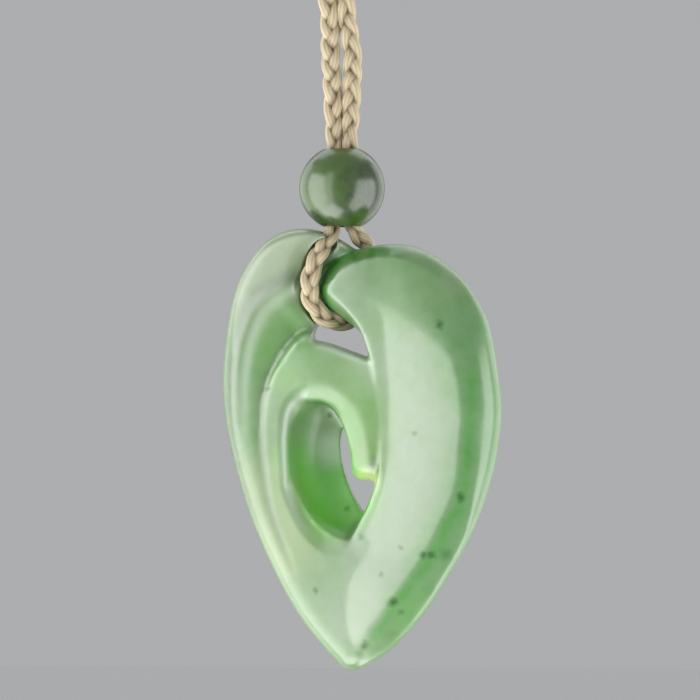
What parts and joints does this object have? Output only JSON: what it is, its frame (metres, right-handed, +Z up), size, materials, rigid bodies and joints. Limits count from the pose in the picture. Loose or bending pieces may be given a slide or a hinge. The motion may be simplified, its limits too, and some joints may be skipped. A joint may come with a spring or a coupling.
{
  "type": "jade spiral pendant",
  "caption": "Pale green jade pendant carved as a teardrop spiral with a hollowed channel and a bowl-shaped eye, hung below a round stone bead on a beige plaited cord.",
  "frame": {"origin": "middle of the cord's join at the nape, where the hanging loop rests on its wearer", "axes": "+Z up from the stone to the nape, -Y out of the front of the stone, +X to the right as seen from the front"},
  "size_m": [0.119, 0.0152, 0.3583],
  "materials": {
    "pale_jade": "polished, slightly translucent",
    "dark_jade": "polished",
    "plaited_cord": "waxed plait",
    "join_thread": "waxed thread"
  },
  "bodies": {
    "root": {"pendant": "pale_jade", "bead": "dark_jade", "cord": "plaited_cord", "cord_join": "join_thread"}
  },
  "joints": []
}
